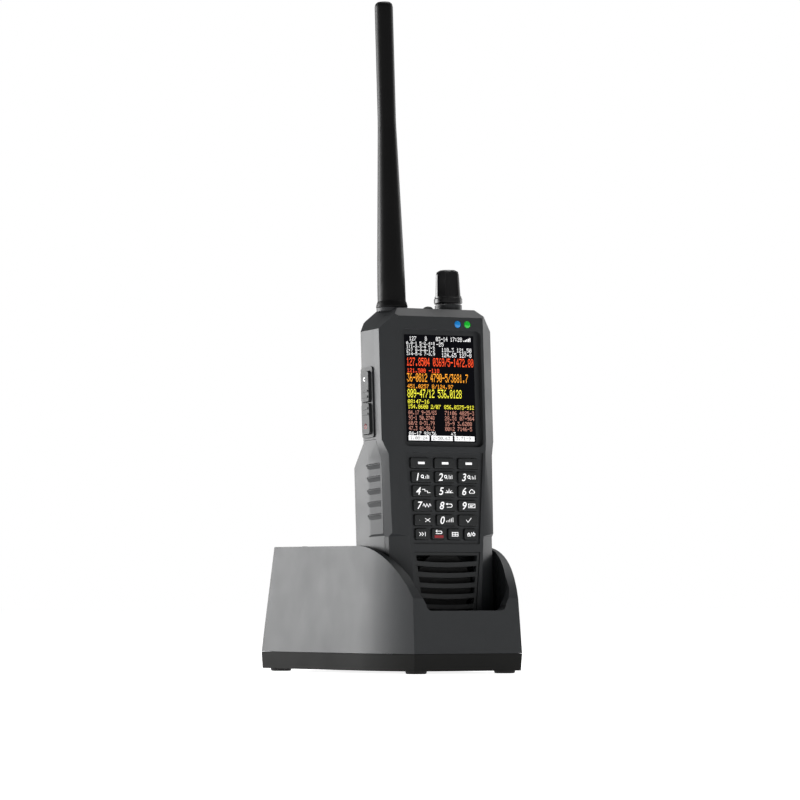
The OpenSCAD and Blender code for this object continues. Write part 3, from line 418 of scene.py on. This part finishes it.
def figure_mesh(text, height, y):
    """A bold sloping figure, its middle at x = 0 and z = 0, as a thin raised mesh."""
    curve = bpy.data.curves.new("figure", "FONT")
    curve.body = text
    curve.size = height / FIGURE_SHARE
    curve.shear = 0.22
    curve.offset = height * FIGURE_WEIGHT
    curve.extrude = PAD_THICK / 2
    curve.align_x = "CENTER"
    curve.resolution_u = 6
    blank = bpy.data.objects.new("blank", curve)
    SCENE.collection.objects.link(blank)
    mesh = evaluated_mesh(blank)
    middle_z = (max(v.co.y for v in mesh.vertices) + min(v.co.y for v in mesh.vertices)) / 2
    stand = Matrix.Rotation(math.radians(90), 4, "X")
    mesh.transform(Matrix.Translation((0, y, 0)) @ stand @ Matrix.Translation((0, -middle_z, 0)))
    return mesh


# ------------------------------------------------------------------ display

SCREEN_W = 37.5
SCREEN_H = 49.8
GLASS_MARGIN = 0.9
GLASS_THICK = 0.6
GLASS_SINK = 0.12        # how far the middle of the glass lies behind the window's front
GLASS_EDGE = 0.14
MARK_LIFT = 0.18         # from the window's front to the back of the marks
BAR_PITCH = 0.85
BAR_W = 0.5
BAR_STEP = 0.34
BOX_TOP = 48.5
BOX_H = 2.3


def make_screen():
    """The polished window over the lit display, and the display's rows of figures."""
    low, high = local_box("display_window")
    middle_z = (low.z + high.z) / 2
    front = low.y
    radio = BODY_OF["display_window"]
    shape = bmesh.new()
    size = Matrix.Diagonal((SCREEN_W + GLASS_MARGIN, GLASS_THICK, SCREEN_H + GLASS_MARGIN, 1))
    place = Matrix.Translation((0, front + GLASS_SINK, middle_z))
    bmesh.ops.create_cube(shape, size=1, matrix=place @ size)
    mesh = bpy.data.meshes.new("glass")
    shape.to_mesh(mesh)
    shape.free()
    mesh.transform(RADIO)
    publish(rounded_edges(mesh, GLASS_EDGE), "screen_glass", radio, "window_gloss")

    left = -SCREEN_W / 2
    top = middle_z + SCREEN_H / 2
    white = []
    for text, x, z, height, pitch in (
            ("127", 2.3, 0.4, 2.0, 1.35), ("8", 10.9, 0.4, 2.0, 1.35), ("03-14", 17.0, 0.4, 2.0, 1.35),
            ("17:28", 25.0, 0.4, 2.0, 1.35), ("0.0-1 5-2.4:8", 0.6, 2.9, 1.4, 1.22),
            ("1:1-2-3-4 5.6", 0.6, 4.6, 1.4, 1.22), ("2:7 8-9-0-1.2", 0.6, 6.3, 1.4, 1.22),
            ("3:4-5-6 7-8.9", 0.6, 8.0, 1.4, 1.22), ("-25", 17.2, 3.0, 1.9, 1.4),
            ("118.3 121.50", 20.0, 5.5, 2.0, 1.4), ("124.65 127-8", 20.0, 7.9, 2.0, 1.4),
            ("04-17 92:36", 0.8, 45.5, 1.9, 1.38), ("+3", 24.0, 45.5, 1.9, 1.38)):
        white += figure_pads(text, left + x, top - z, height, pitch)
    for bar in range(5):
        tall = BAR_W + BAR_STEP * bar
        white.append((left + 32.6 + BAR_PITCH * bar, top - BOX_H + tall / 2, BAR_W, tall))
    boxes = ((0.5, 11.4), (13.0, 11.8), (25.9, 11.1))
    for x, wide in boxes:
        white.append((left + x + wide / 2, top - BOX_TOP, wide, BOX_H))
    marks = front - MARK_LIFT - PAD_THICK / 2
    make_pads("screen_white_marks", radio, "screen_white", white, marks)
    rows = {
        "screen_red": (("127.8504 0369/5-1472.80", 0.5, 10.5, 3.9, 1.62),
                       ("121.500 -118", 0.6, 15.6, 1.9, 1.5)),
        "screen_orange": (("36-0812 4790-5/3681.7", 0.5, 17.9, 4.0, 1.62),
                          ("451.0257 8/124.97", 0.6, 23.1, 1.9, 1.5)),
        "screen_yellow": (("809-47/12 536.0128", 0.5, 25.4, 4.0, 1.68), ("08:47-16", 0.6, 30.3, 1.9, 1.5),
                          ("154.8600 2/07", 0.6, 32.7, 1.9, 1.4), ("856.0375-912", 20.6, 32.7, 1.9, 1.4)),
        "screen_rose": (("04.17 9-25/83", 0.8, 35.5, 1.9, 1.2), ("71:06 4825-3", 20.8, 35.5, 1.9, 1.38),
                        ("93-1 50.2748", 0.8, 38.0, 1.9, 1.2), ("28.51 07-964", 20.8, 38.0, 1.9, 1.38),
                        ("60/2 8-31.79", 0.8, 40.5, 1.9, 1.2), ("15-9 3.6208", 20.8, 40.5, 1.9, 1.38),
                        ("47.3 01-58.2", 0.8, 43.0, 1.9, 1.2), ("80:2 7146-5", 20.8, 43.0, 1.9, 1.38)),
    }
    for slot, lines in rows.items():
        pads = []
        for text, x, z, height, pitch in lines:
            pads += figure_pads(text, left + x, top - z, height, pitch)
        make_pads(slot + "_marks", radio, slot, pads, marks)
    dark = []
    for (x, _), text in zip(boxes, ("1.08-24", "2-50.63", "3.71-9")):
        dark += figure_pads(text, left + x + 0.8, top - 47.75, 1.5, 1.4)
    make_pads("screen_box_marks", radio, "window_gloss", dark, marks - PAD_THICK)


# ------------------------------------------------------------------ keys

def arc(x, z, radius, start, end, steps=8):
    turns = [math.radians(start + (end - start) * i / steps) for i in range(steps + 1)]
    return [(x + radius * math.cos(t), z + radius * math.sin(t)) for t in turns]


def ring(x, z, radius):
    return arc(x, z, radius, 0, 360, 12)


# Small generic pictograms beside the figures, drawn as ribbons in millimetres from their middle
PICTURES = {
    "key_1": [ring(-1.9, 0.2, 0.7), [(-1.4, -0.35), (-0.9, -0.9)], [(0.2, -0.8), (0.2, 0.2)],
              [(1.1, -0.8), (1.1, 0.9)], [(2, -0.8), (2, 0.5)]],
    "key_2": [ring(-1.9, 0.2, 0.7), [(-1.4, -0.35), (-0.9, -0.9)], [(0.2, -0.8), (0.2, 0.9)],
              [(1.1, -0.8), (1.1, 0.4)], [(2, -0.8), (2, 0.9)]],
    "key_3": [ring(-1.9, 0.2, 0.7), [(-1.4, -0.35), (-0.9, -0.9)], [(0.2, -0.8), (0.2, 0.5)],
              [(1.1, -0.8), (1.1, 0)], [(2, -0.8), (2, 0.9)]],
    "key_4": [[(-2.4, 0.8), (-0.8, 0.8), (-0.8, 0), (0.8, 0), (0.8, -0.8), (2.4, -0.8)]],
    "key_5": [arc(0, -0.7, 0.9, 0, 180), [(-2.3, -0.7), (2.3, -0.7)], [(0, 0.7), (0, 1.1)],
              [(-1.6, 0.3), (-1.2, 0.0)], [(1.6, 0.3), (1.2, 0.0)]],
    "key_6": [arc(-1, -0.3, 0.55, 90, 270), arc(0, 0.2, 0.8, 20, 160), arc(1.1, -0.3, 0.55, -90, 90),
              [(-1, -0.85), (1.1, -0.85)]],
    "key_7": [[(-2.4, -0.2), (-1.8, 0.8), (-0.9, -0.8), (0, 0.8), (0.9, -0.8), (1.8, 0.8), (2.4, -0.2)]],
    "key_8": [arc(0.9, 0, 0.8, -90, 90), [(0.9, 0.8), (-1.9, 0.8)], [(-1.2, 1.1), (-1.9, 0.8), (-1.2, 0.4)],
              [(0.9, -0.8), (-1.4, -0.8)]],
    "key_9": [[(-2, -0.9), (-2, 0.9), (2, 0.9), (2, -0.9), (-2, -0.9)], [(-1.2, 0.2), (1.2, 0.2)],
              [(-1.2, -0.3), (0.4, -0.3)]],
    "key_point": [[(-1.4, 0.8), (1.4, -0.8)], [(-1.4, -0.8), (1.4, 0.8)]],
    "key_0": [[(-2, -0.8), (-2, -0.4)], [(-1, -0.8), (-1, 0)], [(0, -0.8), (0, 0.4)],
              [(1, -0.8), (1, 0.8)], [(2, -0.8), (2, 1.1)]],
    "key_enter": [[(-1.4, 0.1), (-0.4, -0.9), (1.6, 1.1)]],
    "key_skip": [[(-1.9, 0.8), (-1, 0), (-1.9, -0.8)], [(-0.4, 0.8), (0.5, 0), (-0.4, -0.8)],
                 [(1.6, 0.9), (1.6, -0.9)]],
    "key_replay": [arc(1.2, 0.9, 0.6, -90, 90, 6), [(1.2, 1.5), (-1.8, 1.5)], [(1.2, 0.3), (-1.8, 0.3)],
                   [(-1.2, 2.0), (-1.8, 1.5), (-1.2, 1.0)]],
    "key_service": [[(-1.8, -0.9), (-1.8, 0.9), (1.8, 0.9), (1.8, -0.9), (-1.8, -0.9)], [(0, 0.9), (0, -0.9)],
                    [(-1.8, 0), (1.8, 0)]],
    "key_power": [[(-2.2, -0.8), (-0.9, -0.8), (-0.9, 0.1), (-2.2, 0.1), (-2.2, -0.8)],
                  arc(-1.55, 0.2, 0.45, 0, 180), [(-0.4, -0.9), (0.3, 0.9)], arc(1.5, 0, 0.75, 120, 420),
                  [(1.5, 0.3), (1.5, 1.1)]],
}
SOFT_BAR_W = 3.6
SOFT_BAR_H = 1.05
KEY_FLANGES = 1.0        # both flanges of a key together, hidden behind the case
FIGURE_LEFT = 0.25       # shares of the key's width, from its middle
PICTURE_RIGHT = 0.16
PICTURE_SQUEEZE = (0.9, 0.95)
FIGURE_H = 3.6
POINT_H = 0.8
KEY_LINE_W = 0.3
RED_BLOCK = (4.8, 1.3)
RED_BLOCK_DROP = 1.15


# Keys with no figure
PICTURE_ONLY = ("enter", "skip", "replay", "service", "power", "soft_left", "soft_middle", "soft_right")


def make_key_marks():
    for node in sorted(name for name in frame["nodes"] if name.startswith("key_")):
        low, high = local_box(node)
        key_w = high.x - low.x - KEY_FLANGES
        middle_x = (low.x + high.x) / 2
        middle_z = (low.z + high.z) / 2
        y = low.y - 0.01
        shape = bmesh.new()
        if node.startswith("key_soft"):
            size = Matrix.Diagonal((SOFT_BAR_W, PAD_THICK, SOFT_BAR_H, 1))
            bmesh.ops.create_cube(shape, size=1, matrix=Matrix.Translation((middle_x, y, middle_z)) @ size)
        figure = {"key_point": "."}.get(node, node[4:]) if node[4:] not in PICTURE_ONLY else ""
        aside = PICTURE_RIGHT * key_w if figure else 0
        if node in PICTURES:
            wide, tall = PICTURE_SQUEEZE
            paths = [[(middle_x + aside + x * wide, middle_z + z * tall) for x, z in path]
                     for path in PICTURES[node]]
            stroke_shape(shape, paths, KEY_LINE_W, y)
        if figure:
            mesh = figure_mesh(figure, POINT_H if figure == "." else FIGURE_H, y)
            mesh.transform(Matrix.Translation((middle_x - FIGURE_LEFT * key_w, 0, middle_z)))
            shape.from_mesh(mesh)
        mesh = bpy.data.meshes.new("marks")
        shape.to_mesh(mesh)
        shape.free()
        mesh.transform(RADIO)
        # The marks take the white key ink, which carries a painted glow
        publish(mesh, node + "_mark", BODY_OF[node], "legend_white")
        if node == "key_replay":
            make_pads("key_replay_red_mark", BODY_OF[node], "legend_red",
                      [(middle_x, middle_z - RED_BLOCK_DROP, *RED_BLOCK)], y)


# ------------------------------------------------------------------ status lights and side marks

def make_status_lights():
    """Two domed light guides above the display, one blue and one green."""
    low, high = local_box("status_lights")
    middle_z = (low.z + high.z) / 2
    radius = (high.z - low.z) / 2 - 0.1
    for name, slot, x in (("status_light_blue", "light_blue", low.x + radius + 0.1),
                          ("status_light_green", "light_green", high.x - radius - 0.1)):
        profile = [(0, -0.45), (0.45, -0.4), (0.8, -0.22), (0.96, 0.02), (1.0, 0.3), (1.0, 2.0), (0, 2.0)]
        shape = bmesh.new()
        points = [shape.verts.new((r * radius, y, 0)) for r, y in profile]
        edges = [shape.edges.new(pair) for pair in zip(points, points[1:])]
        bmesh.ops.spin(shape, geom=points + edges, axis=(0, 1, 0), cent=(0, 0, 0), steps=32,
                       angle=math.radians(360))
        bmesh.ops.remove_doubles(shape, verts=shape.verts[:], dist=0.001)
        bmesh.ops.recalc_face_normals(shape, faces=shape.faces[:])
        mesh = bpy.data.meshes.new(name)
        shape.to_mesh(mesh)
        shape.free()
        mesh.shade_smooth()
        mesh.transform(RADIO @ Matrix.Translation((x, 0, middle_z)))
        publish(mesh, name, BODY_OF["status_lights"], slot, ["status_lights"])


SIDE_MARK_PLACE = 3.4    # from the middle of a side button towards its far end
SIDE_LINE_W = 0.42
SIDE_RIB = 0.35


def make_side_marks():
    """An open ring on the upper side button and a lock-like mark on the lower one."""
    # The side marks take the white and red key inks, which carry a painted glow
    for node, slot, paths, end in (
            ("side_button_upper", "legend_white",
             [arc(0, 0, 0.75, 60, 300)], 1),
            ("side_button_lower", "legend_red",
             [[(-1, -1), (1, -1), (1, 0.3), (-1, 0.3), (-1, -1)], arc(0, 0.3, 0.7, 0, 180)], -1)):
        low, high = local_box(node)
        middle_y = (low.y + high.y) / 2
        middle_z = (low.z + high.z) / 2 + end * SIDE_MARK_PLACE
        shape = bmesh.new()
        stroke_shape(shape, paths, SIDE_LINE_W, 0)
        mesh = bpy.data.meshes.new("side mark")
        shape.to_mesh(mesh)
        shape.free()
        face = low.x + SIDE_RIB
        mesh.transform(Matrix.Translation((face, middle_y, middle_z)) @ Matrix.Rotation(
            math.radians(-90), 4, "Z"))
        mesh.transform(RADIO)
        publish(mesh, node + "_mark", BODY_OF[node], slot)


# ------------------------------------------------------------------ camera, floor and light

def make_camera():
    """Low and level, a little to the left of the radio's face, through a long lens."""
    azimuth = math.radians(-31.08)
    distance = 2.35
    data = bpy.data.cameras.new("camera")
    data.lens = 220.6
    data.sensor_width = 36
    data.clip_end = 30
    camera = bpy.data.objects.new("camera", data)
    SCENE.collection.objects.link(camera)
    camera.location = (math.sin(azimuth) * distance, -math.cos(azimuth) * distance, 0.0396)
    camera.rotation_euler = (math.radians(90 + 2.209), 0, azimuth - math.radians(0.036))
    SCENE.camera = camera


def make_floor():
    bpy.ops.mesh.primitive_plane_add(size=12)
    floor = bpy.context.object
    floor.name = "floor"
    material, tree = new_material("pale studio paper")
    place = add(tree, "ShaderNodeTexCoord").outputs["Object"]
    fibre = add(tree, "ShaderNodeTexNoise", {"Vector": place, "Scale": per(25), "Detail": 3.0})
    tint = add(tree, "ShaderNodeMix", {"Factor": fibre.outputs["Fac"], "A": colour("#f4f4f4"),
                                       "B": colour("#fafafa")}, data_type="RGBA")
    surface(tree, Base_Color=tint.outputs["Result"], Roughness=0.9,
            Emission_Color=tint.outputs["Result"], Emission_Strength=0.93)
    floor.data.materials.append(material)


def soft_light(name, place, aim, size, radiance):
    """A softbox of this size in metres, facing its aim; its power follows from its brightness."""
    data = bpy.data.lights.new(name, "AREA")
    data.shape = "RECTANGLE"
    data.size, data.size_y = size
    data.energy = radiance * math.pi * size[0] * size[1]
    light = bpy.data.objects.new(name, data)
    SCENE.collection.objects.link(light)
    light.location = place
    light.rotation_euler = (Vector(aim) - Vector(place)).to_track_quat("-Z", "Y").to_euler()


def make_light():
    middle = (0, 0, 0.12)
    soft_light("key softbox", (-0.78, 1.1, 0.2), middle, (0.9, 0.8), 8.6)
    soft_light("right strip", (1.5, 0.35, 0.3), middle, (0.7, 1.0), 2.6)
    soft_light("top softbox", (0.5, 0.3, 1.5), middle, (1.1, 1.1), 2.6)
    world = bpy.data.worlds.new("studio")
    SCENE.world = world
    world.use_nodes = True
    tree = world.node_tree
    tree.nodes.clear()
    seen = add(tree, "ShaderNodeBackground", {"Color": (1, 1, 1, 1), "Strength": 1.0})
    around = add(tree, "ShaderNodeBackground", {"Color": (1, 1, 1, 1), "Strength": 0.15})
    ray = add(tree, "ShaderNodeLightPath")
    both = add(tree, "ShaderNodeMixShader", {0: ray.outputs["Is Camera Ray"], 1: around.outputs[0],
                                             2: seen.outputs[0]})
    add(tree, "ShaderNodeOutputWorld", {"Surface": both.outputs[0]})
    SCENE.view_settings.view_transform = "Standard"


make_camera()
make_floor()
make_light()
make_skins()
skin("display_window", 0.2, material="window_frame")
make_screen()
make_key_marks()
make_status_lights()
make_side_marks()
dress_cad_nodes()
